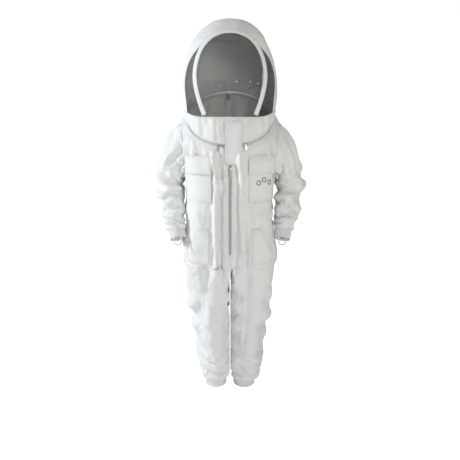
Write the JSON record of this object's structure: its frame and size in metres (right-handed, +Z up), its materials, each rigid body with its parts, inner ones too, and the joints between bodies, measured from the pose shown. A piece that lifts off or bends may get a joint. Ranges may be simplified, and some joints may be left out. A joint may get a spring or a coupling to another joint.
{
  "type": "beekeeping suit",
  "caption": "Child's white cotton beekeeping suit: zipped coverall with elastic cuffs and hems, flap pockets, and a zip-on fencing hood with black netting veils.",
  "frame": {"origin": "on the floor plane of the leg hems, midway between the legs", "axes": "+Z up, the wearer faces -Y, +X is the wearer's left"},
  "size_m": [0.5036, 0.2891, 1.2942],
  "materials": {
    "cotton": "matt plain-woven cotton",
    "elastic": "matt gathered elastic",
    "net": "open hexagonal netting",
    "zip_tape": "woven tape",
    "zip_teeth": "moulded",
    "zip_metal": "satin",
    "hook_and_loop": "napped",
    "thread": "satin embroidery",
    "hoop_wire": "coated spring wire"
  },
  "bodies": {
    "suit": {"front_panel_left": "cotton", "front_panel_right": "cotton", "back_panel": "cotton", "back_waist_elastic": "elastic", "main_zip_tape_left": "zip_tape", "main_zip_tape_right": "zip_tape", "main_zip_teeth_left": "zip_teeth", "main_zip_teeth_right": "zip_teeth", "main_zip_stops": "zip_metal", "neck_zip_tape": "zip_tape", "neck_zip_teeth": "zip_teeth", "chest_pocket_left": "cotton", "chest_pocket_right": "cotton", "hip_pocket_left": "cotton", "hip_pocket_right": "cotton", "hip_pocket_bar_tacks": "elastic", "loop_patches": "hook_and_loop", "hanger_loop": "cotton", "embroidered_badge": "thread"},
    "hood": {"hood_skirt": "cotton", "hood_back": "cotton", "hood_crown": "cotton", "front_veil": "net", "side_veil_left": "net", "side_veil_right": "net", "front_arch_binding": "cotton", "rear_binding_left": "cotton", "rear_binding_right": "cotton", "front_hoop": "hoop_wire", "rear_hoop": "hoop_wire", "hood_zip_tape": "zip_tape", "hood_zip_teeth": "zip_teeth"},
    "storm_flap": {"storm_flap": "cotton", "storm_flap_hook_patch": "hook_and_loop"},
    "chest_flap_left": {"chest_flap_left": "cotton", "chest_flap_left_hook_patch": "hook_and_loop"},
    "chest_flap_right": {"chest_flap_right": "cotton", "chest_flap_right_hook_patch": "hook_and_loop"},
    "main_slider": {"main_zip_slider": "zip_metal"},
    "main_pull": {"main_zip_pull": "zip_metal"},
    "neck_slider_left": {"neck_zip_slider_left": "zip_metal"},
    "neck_pull_left": {"neck_zip_pull_left": "zip_metal"},
    "neck_slider_right": {"neck_zip_slider_right": "zip_metal"},
    "neck_pull_right": {"neck_zip_pull_right": "zip_metal"},
    "sleeve_left": {"sleeve_left": "cotton", "cuff_left": "elastic", "thumb_loop_left": "elastic"},
    "sleeve_right": {"sleeve_right": "cotton", "cuff_right": "elastic", "thumb_loop_right": "elastic"},
    "leg_left": {"leg_front_left": "cotton", "leg_back_left": "cotton", "hem_elastic_left": "elastic"},
    "leg_right": {"leg_front_right": "cotton", "leg_back_right": "cotton", "hem_elastic_right": "elastic"}
  },
  "joints": [
    {"name": "hood_tilt", "type": "hinge", "parent": "suit", "child": "hood", "pos_m": [0, 0.09046, 1.0765], "axis": [-1, 0, 0], "range_deg": [0, 95]},
    {"name": "storm_flap_lift", "type": "hinge", "parent": "hood", "child": "storm_flap", "pos_m": [0.0105, -0.1378, 0.978], "axis": [-1, 0, 0], "range_deg": [0, 140]},
    {"name": "chest_flap_left_lift", "type": "hinge", "parent": "suit", "child": "chest_flap_left", "pos_m": [0.1031, -0.12218, 0.872], "axis": [-0.9253, -0.3791, 0], "range_deg": [0, 110]},
    {"name": "chest_flap_right_lift", "type": "hinge", "parent": "suit", "child": "chest_flap_right", "pos_m": [-0.1031, -0.12218, 0.872], "axis": [-0.9253, 0.3791, 0], "range_deg": [0, 110]},
    {"name": "main_slider_travel", "type": "slide", "parent": "suit", "child": "main_slider", "axis": [0, 0, 1], "range_m": [-0.276, 0.05]},
    {"name": "main_pull_swing", "type": "hinge", "parent": "main_slider", "child": "main_pull", "pos_m": [0, -0.1281, 0.828], "axis": [-1, 0, 0], "range_deg": [0, 150]},
    {"name": "neck_slider_left_travel", "type": "hinge", "parent": "suit", "child": "neck_slider_left", "pos_m": [0, -0.02026, 0.99], "axis": [0, -0.6157, 0.788], "range_deg": [0, 100]},
    {"name": "neck_pull_left_swing", "type": "hinge", "parent": "neck_slider_left", "child": "neck_pull_left", "pos_m": [0.04894, -0.12622, 0.90721], "axis": [-0.9397, -0.2695, -0.2106], "range_deg": [0, 100]},
    {"name": "neck_slider_right_travel", "type": "hinge", "parent": "suit", "child": "neck_slider_right", "pos_m": [0, -0.02026, 0.99], "axis": [0, 0.6157, -0.788], "range_deg": [0, 106]},
    {"name": "neck_pull_right_swing", "type": "hinge", "parent": "neck_slider_right", "child": "neck_pull_right", "pos_m": [-0.03462, -0.12967, 0.90452], "axis": [-0.9703, 0.1906, 0.1489], "range_deg": [0, 100]},
    {"name": "sleeve_left_raise", "type": "hinge", "parent": "suit", "child": "sleeve_left", "pos_m": [0.16, 0, 0.98], "axis": [0, -1, 0], "range_deg": [0, 50]},
    {"name": "sleeve_right_raise", "type": "hinge", "parent": "suit", "child": "sleeve_right", "pos_m": [-0.16, 0, 0.98], "axis": [0, 1, 0], "range_deg": [0, 50]},
    {"name": "leg_left_raise", "type": "hinge", "parent": "suit", "child": "leg_left", "pos_m": [0.08, -0.1275, 0.4993], "axis": [-1, 0, 0], "range_deg": [0, 45]},
    {"name": "leg_right_raise", "type": "hinge", "parent": "suit", "child": "leg_right", "pos_m": [-0.08, -0.1275, 0.4993], "axis": [-1, 0, 0], "range_deg": [0, 45]}
  ]
}
